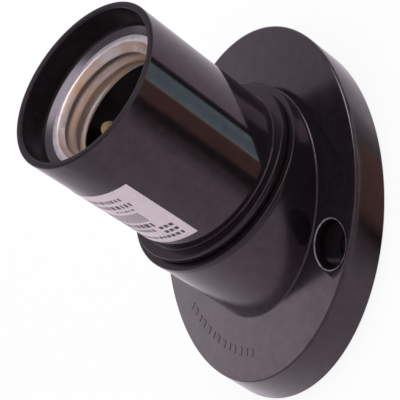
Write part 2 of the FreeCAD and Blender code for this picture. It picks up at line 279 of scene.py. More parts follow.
# Heights and radii that several pieces share
sin_lean, cos_lean = math.sin(tube_lean), math.cos(tube_lean)
flange_bottom = neck_rim_height + parting_gap
flange_top = flange_bottom + flange_thickness
skirt_bottom = shelf_height + insert_flange_thickness + skirt_seat_gap
skirt_outer_radius = neck_bore_radius - thread_clearance
skirt_inner_radius = skirt_outer_radius - skirt_wall
collar_top = mouth_height - collar_top_below_mouth
collar_bottom = collar_top - collar_length
shell_chamber_radius = shell_foot_radius - shell_wall
sleeve_outer_radius = lamp_thread_radius + sheet
sleeve_funnel_radius = lamp_thread_radius + sleeve_flare
sleeve_lip_radius = sleeve_funnel_radius + sleeve_lip_width
collar_bore_radius = sleeve_outer_radius + sleeve_clearance
sleeve_roll_radius = collar_bore_radius + sleeve_roll_grip
insert_flange_radius = neck_bore_radius - insert_flange_clearance
insert_tower_radius = shell_chamber_radius - insert_tower_clearance
insert_cavity_radius = insert_tower_radius - insert_wall
insert_recess_radius = insert_tower_radius - insert_rim_width
insert_top_height = shelf_height + insert_height
insert_floor_top = insert_top_height - insert_recess_depth
insert_ceiling = insert_floor_top - insert_floor
plate_underside = insert_ceiling - terminal_plate_thickness
fixing_offset = insert_cavity_radius - terminal_plate_margin - terminal_plate_gap
terminal_offset = insert_cavity_radius - terminal_screw_inset
label_high = mouth_height - label_below_mouth
label_low = label_high - label_length

# Fineness of the meshes, and the angle from which an edge shades sharp
sharp_edge = math.radians(40.0)
round_steps = 5
bend_steps = 8
bend_stride = 0.35
ring_steps = 288
inner_ring_steps = 144
insert_steps = 192
boss_steps = 72
hole_steps = 48
screw_steps = 64
screw_rows = 60
bore_rows = 44
thread_row_count = 48


# Placing

def to_row(point):
    """A point of the tube's frame in the row frame, both in millimetres."""
    x, y, z = point
    return Vector((x, y * cos_lean - z * sin_lean, plate_thickness + y * sin_lean + z * cos_lean))


def at_contacts(point):
    """A point of the insert's frame, which is turned to its contacts, in the row frame."""
    x, y, z = point
    c, s = math.cos(contact_azimuth), math.sin(contact_azimuth)
    return to_row((x * c - y * s, x * s + y * c, z))


def slice_height(level, radius, azimuth):
    """Height along the tube where a level of the row frame cuts a radius at an azimuth."""
    drop = radius * math.sin(azimuth) * sin_lean
    return (level - plate_thickness - drop) / cos_lean


# Meshes

def rounded_corner(before, here, after, size, steps):
    """Points of the arc that rounds the corner between two others."""
    back = (before - here).normalized()
    ahead = (after - here).normalized()
    half = back.angle(ahead) / 2
    start = here + back * (size / math.tan(half))
    end = here + ahead * (size / math.tan(half))
    centre = here + (back + ahead).normalized() * (size / math.sin(half))
    first, last = start - centre, end - centre
    sweep = math.atan2(first.x * last.y - first.y * last.x, first.dot(last))
    points = []
    for k in range(steps + 1):
        turn = sweep * k / steps
        c, s = math.cos(turn), math.sin(turn)
        points.append(centre + Vector((first.x * c - first.y * s, first.x * s + first.y * c)))
    return points


def rounded_line(corners):
    """Points of a closed (radius, height) outline whose corners (r, z, size) are rounded."""
    places = [Vector(corner[:2]) for corner in corners]
    points = []
    for i, (_, _, size) in enumerate(corners):
        if size > 0:
            after = places[(i + 1) % len(places)]
            points += rounded_corner(places[i - 1], places[i], after, size, round_steps)
        else:
            points.append(places[i])
    return points


def point_at(line, x, z):
    """Index of the outline's point at a radius and a height."""
    return min(range(len(line)), key=lambda i: abs(line[i].x - x) + abs(line[i].y - z))


def in_scene(name, data):
    """New object in the scene."""
    obj = bpy.data.objects.new(name, data)
    bpy.context.scene.collection.objects.link(obj)
    return obj


def new_piece(name, verts, faces, place=to_row):
    """Mesh object, smooth but for sharp edges; place puts its points into the row frame."""
    mesh = bpy.data.meshes.new(name)
    mesh.from_pydata([place(v) * MM for v in verts], [], faces)
    bm = bmesh.new()
    bm.from_mesh(mesh)
    bmesh.ops.recalc_face_normals(bm, faces=bm.faces)
    bm.to_mesh(mesh)
    bm.free()
    return smooth(in_scene(name, mesh))


def smooth(obj):
    obj.data.shade_smooth()
    obj.data.set_sharp_from_angle(angle=sharp_edge)
    return obj


def around(line, azimuth, centre=(0, 0)):
    """Points of a (radius, height) line at an azimuth about an upright axis."""
    c, s = math.cos(azimuth), math.sin(azimuth)
    return [(centre[0] + r * c, centre[1] + r * s, z) for r, z in line]


def stitched(steps, rows, closed=False):
    """Faces between lines of rows points that stand around a whole turn."""
    faces = []
    for i in range(steps):
        j = (i + 1) % steps
        for k in range(rows if closed else rows - 1):
            m = (k + 1) % rows
            faces.append((i * rows + k, j * rows + k, j * rows + m, i * rows + m))
    return faces


def ring_piece(name, line_at, place=to_row, steps=ring_steps):
    """Solid ring from a closed (radius, height) line that may change with the azimuth."""
    verts = []
    for i in range(steps):
        azimuth = math.tau * i / steps
        line = line_at(azimuth)
        verts += around(line, azimuth)
    return new_piece(name, verts, stitched(steps, len(line), True), place)


def turned_piece(name, corners, centre=(0, 0), place=to_row, steps=96):
    """Solid of revolution from an outline that starts and ends on its own axis."""
    low, *inner, high = rounded_line(corners)
    verts = []
    for i in range(steps):
        verts += around(inner, math.tau * i / steps, centre)
    rows = len(inner)
    faces = stitched(steps, rows)
    verts += [(*centre, low.y), (*centre, high.y)]
    for i in range(steps):
        j = (i + 1) % steps
        faces.append((i * rows, j * rows, len(verts) - 2))
        faces.append((i * rows + rows - 1, j * rows + rows - 1, len(verts) - 1))
    return new_piece(name, verts, faces, place)


def block(name, low, high, place=to_row):
    """Box between two corners, as a cutter or a part of a moulding."""
    xs, ys, zs = zip(low, high)
    corners = [(x, y, z) for x in xs for y in ys for z in zs]
    faces = [(0, 1, 3, 2), (4, 6, 7, 5), (0, 4, 5, 1), (2, 3, 7, 6), (0, 2, 6, 4), (1, 5, 7, 3)]
    return new_piece(name, corners, faces, place)


def joined(body, other, operation):
    """Change a mesh by another with an exact boolean, then drop the other."""
    change = body.modifiers.new("change", "BOOLEAN")
    change.operation = operation
    change.solver = "EXACT"
    change.object = other
    depsgraph = bpy.context.evaluated_depsgraph_get()
    result = bpy.data.meshes.new_from_object(body.evaluated_get(depsgraph))
    body.modifiers.remove(change)
    body.data = result
    bpy.data.objects.remove(other)
    return smooth(body)


def added(body, other):
    """Put another mesh into the same piece as it stands, then drop the other."""
    bm = bmesh.new()
    bm.from_mesh(body.data)
    bm.from_mesh(other.data)
    bm.to_mesh(body.data)
    bm.free()
    bpy.data.objects.remove(other)
    return smooth(body)


def thread_wave(azimuth, height, pitch, low=-math.inf, high=math.inf, run=1.0):
    """Share of a thread's depth, from 0 at the root to 1 at a crest, faded out at both ends."""
    phase = (height - pitch * azimuth / math.tau) / pitch
    wave = 0.5 + 0.5 * math.cos(math.tau * phase)
    fade = min(1.0, max(0.0, (height - low) / run), max(0.0, (high - height) / run))
    return wave * fade * fade * (3 - 2 * fade)


def thread_rows(radius_at, low, high, count):
    """Points of a threaded wall from low to high."""
    heights = [low + (high - low) * k / count for k in range(count + 1)]
    return [Vector((radius_at(height), height)) for height in heights]


# Base moulding

def base_line(azimuth):
    bead_radius = neck_radius + neck_bead_proud
    bead_bottom = neck_rim_height - neck_bead_height
    bore_low, bore_high = shelf_height, neck_rim_height - neck_edge_round

    def at_level(radius, height, size):
        return (radius, slice_height(height, radius, azimuth), size)

    hollow = plate_radius - plate_wall
    chamber_outer = chamber_radius + chamber_wall
    roof = plate_thickness - plate_roof
    corners = [
        at_level(hollow, 0, back_edge_round),
        at_level(plate_radius, 0, back_edge_round),
        at_level(plate_radius, plate_thickness, front_edge_round),
        at_level(neck_radius, plate_thickness, neck_foot_round),
        (neck_radius, bead_bottom, 0),
        (bead_radius, bead_bottom + neck_bead_proud, 0),
        (bead_radius, neck_rim_height, neck_edge_round),
        (neck_bore_radius, neck_rim_height, neck_edge_round),
        (neck_bore_radius, bore_low, 0),
        (chamber_radius, bore_low, hidden_edge_round),
        at_level(chamber_radius, 0, hidden_edge_round),
        at_level(chamber_outer, 0, hidden_edge_round),
        at_level(chamber_outer, roof, hidden_corner_round),
        at_level(hollow, roof, hidden_corner_round),
    ]
    line = rounded_line(corners)
    last_of_rim = point_at(line, neck_bore_radius, bore_low)
    low, high = bore_low + bore_thread_above_shelf, bore_high - bore_thread_below_rim

    def bore_radius_at(height):
        wave = thread_wave(azimuth, height, joint_thread_pitch, low, high, 1.0)
        return neck_bore_radius - thread_clearance * 0.5 * wave

    rows = thread_rows(bore_radius_at, bore_high, bore_low, bore_rows)
    return line[: last_of_rim] + rows[1:-1] + line[last_of_rim:]


def screw_cutter(side):
    """Screw hole and counterbore, with a mouth that flares to a rounded edge."""
    seat = plate_thickness - counterbore_depth
    size = counterbore_edge_round
    past = plate_thickness + 30
    corners = [(0, -1, 0), (screw_hole_radius, -1, 0)]
    corners += [(screw_hole_radius, seat, 0), (counterbore_radius, seat, 0)]
    for k in range(round_steps + 1):
        turn = math.pi / 2 * k / round_steps
        flare = counterbore_radius + size * (1 - math.cos(turn))
        corners.append((flare, plate_thickness + 0.01 - size + size * math.sin(turn), 0))
    corners += [(counterbore_radius + size, past, 0), (0, past, 0)]
    return turned_piece("screw_cutter", corners, (side * screw_spacing / 2, 0), Vector)


def back_stiffening():
    """Screw bosses and ribs in the hollow behind the plate."""
    top = plate_thickness - plate_roof / 2
    middle = plate_thickness / 2 * math.tan(tube_lean)
    radius = counterbore_radius + boss_wall
    outline = [(0, 0, 0), (radius, 0, hidden_edge_round), (radius, top, 0), (0, top, 0)]
    places = [(side * screw_spacing / 2, 0) for side in (-1, 1)]
    bosses = [turned_piece("boss", outline, place, Vector, boss_steps) for place in places]
    body = joined(*bosses, "UNION")
    for angle in rib_angles:
        spin = Matrix.Rotation(angle, 3, "Z")

        def turned_out(point, spin=spin):
            return spin @ Vector(point) + Vector((0, middle, 0))

        half = rib_thickness / 2
        low, high = (rib_start, -half, rib_setback), (rib_end, half, top - 0.05)
        body = joined(body, block("rib", low, high, turned_out), "UNION")

    def ring_line(azimuth):
        inner, outer = chamber_radius + chamber_wall / 2, plate_radius - plate_wall / 2
        corners = ((inner, 0), (outer, 0), (outer, top), (inner, top))
        return [Vector((r, slice_height(z, r, azimuth))) for r, z in corners]

    room = ring_piece("stiffening_room", ring_line, steps=inner_ring_steps)
    return joined(body, room, "INTERSECT")


def raised_dashes():
    """Arc of plain low dashes on the front of the plate."""
    levels = ((plate_thickness - dash_sunk, 0.0), (plate_thickness + dash_relief, dash_slope))
    verts, faces = [], []
    turn = dash_start
    for width in dash_widths:
        across = Vector((-math.sin(turn), math.cos(turn), 0))
        out = Vector((math.cos(turn), math.sin(turn), 0))
        middle = out * dash_radius
        first = len(verts)
        for height, inset in levels:
            half_width, half_length = width / 2 - inset, dash_length / 2 - inset
            for u, v in ((-1, -1), (1, -1), (1, 1), (-1, 1)):
                point = middle + across * (u * half_width) + out * (v * half_length)
                verts.append((point.x, point.y, height))
        faces += [tuple(range(first, first + 4)), tuple(range(first + 4, first + 8))]
        for a in range(4):
            b = (a + 1) % 4
            faces.append((first + a, first + b, first + b + 4, first + a + 4))
        turn += (width + dash_gap) / dash_radius
    return new_piece("raised_dashes", verts, faces, Vector)


def base_piece():
    body = ring_piece("base_moulding", base_line)
    stiffening = back_stiffening()
    for side in (-1, 1):
        body = joined(body, screw_cutter(side), "DIFFERENCE")
        stiffening = joined(stiffening, screw_cutter(side), "DIFFERENCE")
    half_width = key_width / 2 + key_clearance
    reach = chamber_radius + key_reach + key_clearance
    floor = shelf_height - key_height - key_clearance
    low, high = (-half_width, -reach, floor), (half_width, reach, shelf_height + 0.4)
    notch = block("notch", low, high, at_contacts)
    body = added(joined(body, notch, "DIFFERENCE"), stiffening)
    return added(body, raised_dashes())


# Shell

def shell_radius_at(height):
    rise = (height - flange_top) / (mouth_height - flange_top)
    return shell_foot_radius + (mouth_radius - shell_foot_radius) * rise


def shell_line(azimuth):
    mouth_inner = mouth_radius - mouth_wall
    step_height = mouth_height - mouth_depth
    funnel_radius = sleeve_funnel_radius + sheet + sleeve_clearance
    funnel_low = collar_top - sleeve_funnel_depth
    corners = [
        (mouth_radius, mouth_height, mouth_edge_round),
        (mouth_inner, mouth_height, mouth_edge_round),
        (mouth_inner - mouth_draft, step_height, 0.2),
        (sleeve_lip_radius + sleeve_clearance, collar_top, 0.1),
        (funnel_radius, collar_top, 0.2),
        (collar_bore_radius, funnel_low, 0.2),
        (collar_bore_radius, collar_bottom, 0.2),
        (shell_chamber_radius, collar_bottom, 0.6),
        (shell_chamber_radius, flange_bottom, 0.4),
        (skirt_inner_radius, flange_bottom - skirt_inner_radius + shell_chamber_radius, 0.4),
        (skirt_inner_radius, skirt_bottom, hidden_edge_round),
        (skirt_outer_radius, skirt_bottom, 0),
        (skirt_outer_radius, flange_bottom, 0),
        (flange_radius, flange_bottom, flange_edge_round),
        (flange_radius, flange_top, flange_edge_round),
        (shell_foot_radius, flange_top, 0.3),
    ]
    line = rounded_line(corners)
    start = point_at(line, skirt_outer_radius, skirt_bottom)

    def skirt_radius_at(height):
        low, high = skirt_bottom + 0.2, flange_bottom - 0.8
        wave = thread_wave(azimuth, height, joint_thread_pitch, low, high, 0.9)
        ends = min(1, height - skirt_bottom + 0.4, (flange_bottom - height) * 2)
        return skirt_outer_radius - joint_thread_depth * (1 - wave) * ends

    rows = thread_rows(skirt_radius_at, skirt_bottom, flange_bottom, thread_row_count)
    return line[: start + 1] + rows[1:-1] + line[start + 1 :]


# Metal sleeve, rolled from sheet

def sleeve_line(azimuth):
    top = collar_top + sheet
    foot = collar_bottom - sheet
    funnel_low = top - sleeve_funnel_depth
    inside = [(sleeve_lip_radius, top)]
    inside += [(sleeve_funnel_radius + out, top - drop) for out, drop in lip_bend]

    def wall_radius_at(height):
        low, high = foot - 0.2, funnel_low + 0.7
        wave = thread_wave(azimuth, height, lamp_thread_pitch, low, high, 1.1)
        return lamp_thread_radius - lamp_thread_depth * wave

    wall = thread_rows(wall_radius_at, funnel_low + sleeve_neck, foot, thread_row_count)
    roll = [(sleeve_roll_radius, foot), (sleeve_roll_radius, foot + sheet)]
    outside = [(x + sheet, max(z, foot + sheet)) for x, z in reversed(wall[1:-1])]
    rim = sleeve_funnel_radius + sheet
    edge = [(rim, top - sheet - 0.2), (rim + 0.2, top - sheet), (sleeve_lip_radius, top - sheet)]
    return [Vector(point) for point in inside + wall + roll + outside + edge]


# Insert

def fixing_place(side):
    return (side * fixing_offset, 0)


def terminal_place(side):
    across = terminal_offset * math.cos(terminal_screw_angle)
    return (side * across, terminal_offset * math.sin(terminal_screw_angle))


def insert_piece():
    spigot_radius = chamber_radius - insert_spigot_clearance
    spigot_low = shelf_height - insert_spigot_length
    flange_high = shelf_height + insert_flange_thickness
    size, fine = insert_edge_round, hidden_edge_round
    outline = [
        (0, insert_ceiling, 0),
        (insert_cavity_radius, insert_ceiling, size),
        (insert_cavity_radius, spigot_low, fine),
        (spigot_radius, spigot_low, size),
        (spigot_radius, shelf_height, 0),
        (insert_flange_radius, shelf_height, fine),
        (insert_flange_radius, flange_high, fine),
        (insert_tower_radius, flange_high, size),
        (insert_tower_radius, insert_top_height, size),
        (insert_recess_radius, insert_top_height, fine),
        (insert_recess_radius, insert_floor_top, fine),
        (0, insert_floor_top, 0),
    ]
    body = turned_piece("ceramic_insert", outline, (0, 0), at_contacts, insert_steps)
    half = barrier_thickness / 2
    reach = (insert_cavity_radius + insert_tower_radius) / 2 - 0.2
    low = (-half, -reach, spigot_low + barrier_setback)
    high = (half, reach, insert_ceiling + insert_floor / 2)
    body = joined(body, block("barrier", low, high, at_contacts), "UNION")
    for side in (-1, 1):
        ends = (side * (insert_cavity_radius + 1), side * (chamber_radius + key_reach))
        low = (-key_width / 2, min(ends), shelf_height - key_height)
        high = (key_width / 2, max(ends), shelf_height + 0.2)
        body = joined(body, block("key", low, high, at_contacts), "UNION")
        through = (fixing_place(side), fixing_shank_radius + fixing_hole_clearance, 40)
        deep = insert_ceiling + terminal_tip_past_plate + terminal_recess_clearance
        blind = (terminal_place(side), terminal_shank_radius + terminal_recess_clearance, deep)
        for place, radius, top in (through, blind):
            low = insert_ceiling - 1
            corners = [(0, low, 0), (radius, low, 0), (radius, top, 0), (0, top, 0)]
            hole = turned_piece("hole", corners, place, at_contacts, hole_steps)
            body = joined(body, hole, "DIFFERENCE")
    return body


# Contacts

def strip_piece(name, corners, thickness, width, bend, tip_length):
    """Bent strip along (x, z) corners, with rounded long edges and a rounded free tip."""
    places = [Vector(corner) for corner in corners]
    centre = [places[0]]
    for before, here, after in zip(places, places[1:], places[2:]):
        centre += rounded_corner(before, here, after, bend + thickness / 2, bend_steps)
    centre.append(places[-1])
    fine = [centre[0]]
    for a, b in zip(centre, centre[1:]):
        pieces = max(1, math.ceil((b - a).length / bend_stride))
        fine += [a + (b - a) * k / pieces for k in range(1, pieces + 1)]
    length = sum((b - a).length for a, b in zip(fine, fine[1:]))
    section = []
    size = strip_edge_round
    for cx, cz, start in ((1, 1, 0), (-1, 1, 90), (-1, -1, 180), (1, -1, 270)):
        for k in range(4):
            turn = math.radians(start + 30 * k)
            section.append((cx, cz, size * math.cos(turn), size * math.sin(turn)))
    verts = []
    gone = 0.0
    for i, p in enumerate(fine):
        before, after = fine[max(0, i - 1)], fine[min(len(fine) - 1, i + 1)]
        ahead = (after - before).normalized()
        side = Vector((-ahead.y, ahead.x))
        if i:
            gone += (p - fine[i - 1]).length
        share = min(1.0, max(0.0, length - gone) / tip_length)
        half_width = width / 2 * math.sqrt(max(0.09, 1 - (1 - share) ** 2))
        for cx, cz, ex, ez in section:
            y = cx * (half_width - size) + ex
            off = cz * (thickness / 2 - size) + ez
            verts.append((p.x + side.x * off, y, p.y + side.y * off))
    n = len(section)
    faces = stitched(len(fine), n, True)[:-n]
    faces.append(tuple(range(n)))
    faces.append(tuple(range(len(verts) - n, len(verts))))
    return new_piece(name, verts, faces, at_contacts)


def centre_contact_piece():
    foot = insert_floor_top + strip / 2
    tip = foot + centre_rise - strip
    half_foot = centre_foot_length / 2
    corners = [
        (-fixing_offset - half_foot, foot),
        (-fixing_offset + half_foot, foot),
        (-centre_strip_width / 3, tip - centre_bend / 3),
        (centre_strip_width / 6, tip),
        (centre_strip_width / 2, tip - centre_tip_drop),
    ]
    width, tip_round = centre_strip_width, centre_tip_round
    return strip_piece("centre_leaf", corners, strip, width, centre_bend, tip_round)


def side_contact_piece():
    foot = insert_floor_top + strip / 2
    top = insert_floor_top + side_rise
    back = insert_recess_radius - side_rim_gap - strip / 2
    knuckle = back - side_lean_in
    corners = [
        (side_foot_end, foot),
        (back, foot),
        (back, top - side_tip_length - side_lean_length),
        (knuckle, top - side_tip_length),
        (knuckle + strip, top),
    ]
    return strip_piece("side_tongue", corners, strip, side_strip_width, side_bend, side_tip_round)


# Screws

def screw_piece(name, place, head_at, head_radius, shank_radius, seat, tip):
    """Slotted screw with a rounded cheese head; the head lies from its seat to head_at."""
    step = 1 if head_at > seat else -1
    size, lead = head_edge_round, 0.35
    span = abs(seat - tip) - 0.3 - lead
    head = []
    for k in range(round_steps + 1):
        turn = math.pi / 2 * k / round_steps
        out = head_radius - size + size * math.cos(turn)
        head.append((out, head_at - step * size * (1 - math.sin(turn))))
    verts = []
    for i in range(screw_steps):
        azimuth = math.tau * i / screw_steps
        line = [(shank_radius * 0.72, tip)]
        for k in range(screw_rows + 1):
            height = tip + step * (lead + span * k / screw_rows)
            wave = thread_wave(azimuth, height, screw_thread_pitch)
            line.append((shank_radius - screw_thread_depth * (1 - wave), height))
        line += [(shank_radius - 0.1, seat), (head_radius - 0.1, seat)]
        line += [(head_radius, seat + step * 0.1)] + head
        verts += around(line, azimuth, place)
    count = len(line)
    faces = stitched(screw_steps, count)
    for first in (0, count - 1):
        faces.append(tuple(range(first, screw_steps * count, count)))
    body = new_piece(name, verts, faces, at_contacts)
    low, high = sorted((head_at - step * slot_depth, head_at + step * 3))
    x, y, half = *place, slot_width / 2
    cutter = block("slot", (x - 5, y - half, low), (x + 5, y + half, high), at_contacts)
    return joined(body, cutter, "DIFFERENCE")


def fixing_screw_piece(name, side):
    seat = insert_floor_top + strip
    top, tip = seat + fixing_head_height, plate_underside - fixing_tip_past_plate
    radii = fixing_head_radius, fixing_shank_radius
    return screw_piece(name, fixing_place(side), top, *radii, seat, tip)


def terminal_screw_piece(name, side):
    seat = plate_underside - clamp_thickness - spring_thickness
    tip = plate_underside + terminal_plate_thickness + terminal_tip_past_plate
    radii = terminal_head_radius, terminal_shank_radius
    return screw_piece(name, terminal_place(side), seat - terminal_head_height, *radii, seat, tip)


# Label

def label_piece():
    columns, rows = label_columns, label_rows
    verts, faces = [], []
    for layer in (0, 1):
        for i in range(columns + 1):
            azimuth = label_start + (label_end - label_start) * i / columns
            for k in range(rows + 1):
                height = label_low + (label_high - label_low) * k / rows
                radius = shell_radius_at(height) + 0.01 + layer * (label_thickness - 0.02)
                verts.append((radius * math.cos(azimuth), radius * math.sin(azimuth), height))
    stride = rows + 1
    sheet_size = (columns + 1) * stride
    for i in range(columns):
        for k in range(rows):
            a = i * stride + k
            faces.append((a, a + 1, a + stride + 1, a + stride))
            b = a + sheet_size
            faces.append((b, b + stride, b + stride + 1, b + 1))
    sides = [(i * stride + k, stride) for i in range(columns) for k in (0, rows)]
    sides += [(i * stride + k, 1) for k in range(rows) for i in (0, columns)]
    for a, step in sides:
        faces.append((a, a + step, a + step + sheet_size, a + sheet_size))
    return new_piece("tube_label", verts, faces)


def print_label(piece, ink):
    """Ink the plain dashes and bars on the label, cell by cell."""
    piece.data.materials.append(ink)
    dice = random.Random(label_seed)
    for drop, height, start, end, widths, gaps in label_marks:
        i = label_columns - start
        while i > label_columns - end:
            width = dice.choice(widths)
            for column in range(max(i - width, label_columns - end), i):
                for row in range(label_rows - drop - height, label_rows - drop):
                    piece.data.polygons[2 * (column * label_rows + row) + 1].material_index = 1
            i -= width + dice.choice(gaps)


# Materials

def shader(name):
    material = bpy.data.materials.new(name)
    material.use_nodes = True
    tree = material.node_tree
    return material, tree, tree.nodes["Principled BSDF"]


def fill(tree, node, inputs):
    """Give a node's inputs their values, or links where the value is another's socket."""
    for name, value in inputs.items():
        if isinstance(value, bpy.types.NodeSocket):
            tree.links.new(value, node.inputs[name])
        else:
            node.inputs[name].default_value = value
    return node


def new_node(tree, kind, inputs, **settings):
    """Outputs of a new node with its settings and inputs."""
    node = tree.nodes.new("ShaderNode" + kind)
    for name, value in settings.items():
        setattr(node, name, value)
    return fill(tree, node, inputs).outputs


def in_piece(tree):
    """Place on the piece, in metres of its own frame."""
    return new_node(tree, "TexCoord", {})["Object"]


def noise_node(tree, scale, detail=4.0, roughness=0.55, stretch=(1, 1, 1)):
    """Noise over the piece in the tube's directions; the scale is in turns per millimetre."""
    inputs = {"Vector": in_piece(tree), "Rotation": (tube_lean, 0, 0)}
    inputs["Scale"] = [MM / (scale * s) for s in stretch]
    place = new_node(tree, "Mapping", inputs, vector_type="TEXTURE")["Vector"]
    inputs = {"Vector": place, "Scale": 1.0, "Detail": detail, "Roughness": roughness}
    return new_node(tree, "TexNoise", inputs)["Fac"]


def ramp(tree, source, stops):
    """Colour over a value, from (position, colour) stops."""
    node = tree.nodes.new("ShaderNodeValToRGB")
    elements = node.color_ramp.elements
    for element, (position, colour) in ((elements[0], stops[0]), (elements[1], stops[-1])):
        element.position, element.color = position, (*colour, 1)
    for position, colour in stops[1:-1]:
        elements.new(position).color = (*colour, 1)
    return fill(tree, node, {"Fac": source}).outputs["Color"]


def ranged(tree, source, low, high, to_low=0.0, to_high=1.0):
    """A value that runs from low to high as one from to_low to to_high."""
    inputs = {"Value": source, "From Min": low, "From Max": high}
    inputs.update({"To Min": to_low, "To Max": to_high})
    return new_node(tree, "MapRange", inputs)["Result"]


def spread(tree, source, low, high):
    """A noise as a value between low and high."""
    return ranged(tree, source, 0.3, 0.7, low, high)


def bump(tree, principled, source, strength, distance, under=None):
    inputs = {"Strength": strength, "Distance": distance * MM, "Height": source}
    if under is not None:
        inputs["Normal"] = under
    normal = new_node(tree, "Bump", inputs)["Normal"]
    fill(tree, principled, {"Normal": normal})
    return normal


def along_tube(tree, low, high):
    """Height along the tube as a value from 0 at low to 1 at high."""
    inputs = {0: in_piece(tree), 1: (0, -sin_lean, cos_lean)}
    along = new_node(tree, "VectorMath", inputs, operation="DOT_PRODUCT")["Value"]
    foot = plate_thickness * cos_lean
    return ranged(tree, along, (low + foot) * MM, (high + foot) * MM)


def above_wall(tree, low, high):
    """Height over the mounting face as a value from 0 at low to 1 at high."""
    height = new_node(tree, "SeparateXYZ", {"Vector": in_piece(tree)})["Z"]
    return ranged(tree, height, low * MM, high * MM)


def within(tree, vector, radius, fade):
    """1 where a vector is shorter than a radius in millimetres, 0 elsewhere."""
    length = new_node(tree, "VectorMath", {0: vector}, operation="LENGTH")["Value"]
    return ranged(tree, length, (radius + fade) * MM, (radius - fade) * MM)


def near_counterbores(tree, radius):
    """1 at points nearer the axis of a counterbore than the radius, 0 elsewhere."""
    parts = new_node(tree, "SeparateXYZ", {"Vector": in_piece(tree)})
    aside = new_node(tree, "Math", {0: parts["X"]}, operation="ABSOLUTE")[0]
    off = both(tree, aside, screw_spacing / 2 * MM, "SUBTRACT")
    flat = new_node(tree, "CombineXYZ", {"X": off, "Y": parts["Y"]})["Vector"]
    return within(tree, flat, radius, 0.05)


def both(tree, first, second, operation="MULTIPLY"):
    """Two values through one math operation."""
    return new_node(tree, "Math", {0: first, 1: second}, operation=operation)[0]


def near_axis(tree, radius):
    """1 at points nearer the tube's axis than the radius, 0 elsewhere."""
    inputs = {0: in_piece(tree), 1: (0, 0, plate_thickness * MM)}
    moved = new_node(tree, "VectorMath", inputs, operation="SUBTRACT")["Vector"]
    inputs = {0: moved, 1: (0, -sin_lean, cos_lean)}
    across = new_node(tree, "VectorMath", inputs, operation="CROSS_PRODUCT")["Vector"]
    return within(tree, across, radius, 0.1)


def mixed(tree, share, low, high, kind="FLOAT"):
    """Value, or colour where the kind is RGBA, between two others by a share."""
    inputs = {"Factor": share, "A": low, "B": high}
    return new_node(tree, "Mix", inputs, data_type=kind)["Result"]


def shades(tree, source, dark, light):
    """A noise as a colour between two others."""
    return ramp(tree, source, [(0.3, dark), (0.7, light)])


def phenolic_material():
    """Glossy black moulding, matt on the rim and inside the tube."""
    material, tree, principled = shader("black_phenolic")
    noise = noise_node(tree, 0.6, 6.0, 0.7)
    tone = shades(tree, noise, (0.004, 0.0032, 0.0037), (0.010, 0.008, 0.0092))

    # Painted highlight: pale ring round the mouths of the counterbores, standing for the bright
    # line on their rounded edge
    mouths = near_counterbores(tree, counterbore_radius + counterbore_edge_round)
    front = above_wall(tree, plate_thickness - 0.28, plate_thickness - 0.2)
    rim_highlight_tone = shades(tree, noise_node(tree, 0.9, 3.0), (0.05, 0.045, 0.05), (0.26, 0.24, 0.25))
    tone = mixed(tree, both(tree, mouths, front), tone, rim_highlight_tone, "RGBA")

    # Regions: the joint of tube and neck, the base, the rim and the inside of the tube
    above_bead = along_tube(tree, neck_rim_height - 1.8, neck_rim_height - 1.6)
    below_flange = along_tube(tree, flange_top + 0.2, flange_top + 0.1)
    joint = both(tree, above_bead, below_flange)
    joint = both(tree, joint, near_axis(tree, neck_radius + 0.4))
    neck = along_tube(tree, neck_rim_height - 1.6, neck_rim_height - 1.8)
    plate = above_wall(tree, plate_thickness + 0.5, plate_thickness + 0.1)
    base = both(tree, plate, neck, "MAXIMUM")
    within_mouth = near_axis(tree, mouth_radius - mouth_wall + 0.35)
    inside = both(tree, within_mouth, along_tube(tree, flange_top, flange_top + 1))
    rim = along_tube(tree, mouth_height - 0.35, mouth_height - 0.1)
    matt = both(tree, inside, rim, "MAXIMUM")
    below_rim = along_tube(tree, mouth_height - 0.3, mouth_height - 0.6)
    above_ledge = along_tube(tree, collar_top + 1.3, collar_top + 1.6)
    below_ledge = along_tube(tree, collar_top - 0.5, collar_top - 1.0)
    deep = both(tree, below_rim, above_ledge)
    deep = both(tree, deep, below_ledge, "MAXIMUM")

    tube_gloss = spread(tree, noise_node(tree, 0.18, 5.0), 0.07, 0.12)
    base_gloss = spread(tree, noise_node(tree, 0.14, 6.0, 0.65), 0.12, 0.22)
    gloss = mixed(tree, base, tube_gloss, base_gloss)
    gloss = mixed(tree, joint, gloss, 0.2)
    gloss = mixed(tree, matt, gloss, 0.26)
    mottled = spread(tree, noise_node(tree, 0.4, 6.0, 0.7), 0.42, 0.58)
    outer_level = mixed(tree, joint, mottled, 0.28)
    inner_level = mixed(tree, rim, mixed(tree, deep, 0.6, 0.12), 0.13)
    level = mixed(tree, matt, outer_level, inner_level)
    tint = ramp(tree, matt, [(0.0, (1.0, 0.78, 0.90)), (1.0, (0.97, 0.84, 0.97))])
    fill(tree, principled, {"Base Color": tone, "Roughness": gloss, "IOR": 1.55})
    fill(tree, principled, {"Specular IOR Level": level, "Specular Tint": tint})
    wave = bump(tree, principled, noise_node(tree, 0.1, 2.0), 0.08, 0.1)
    bump(tree, principled, noise_node(tree, 2.2), 0.12, 0.01, wave)
    return material


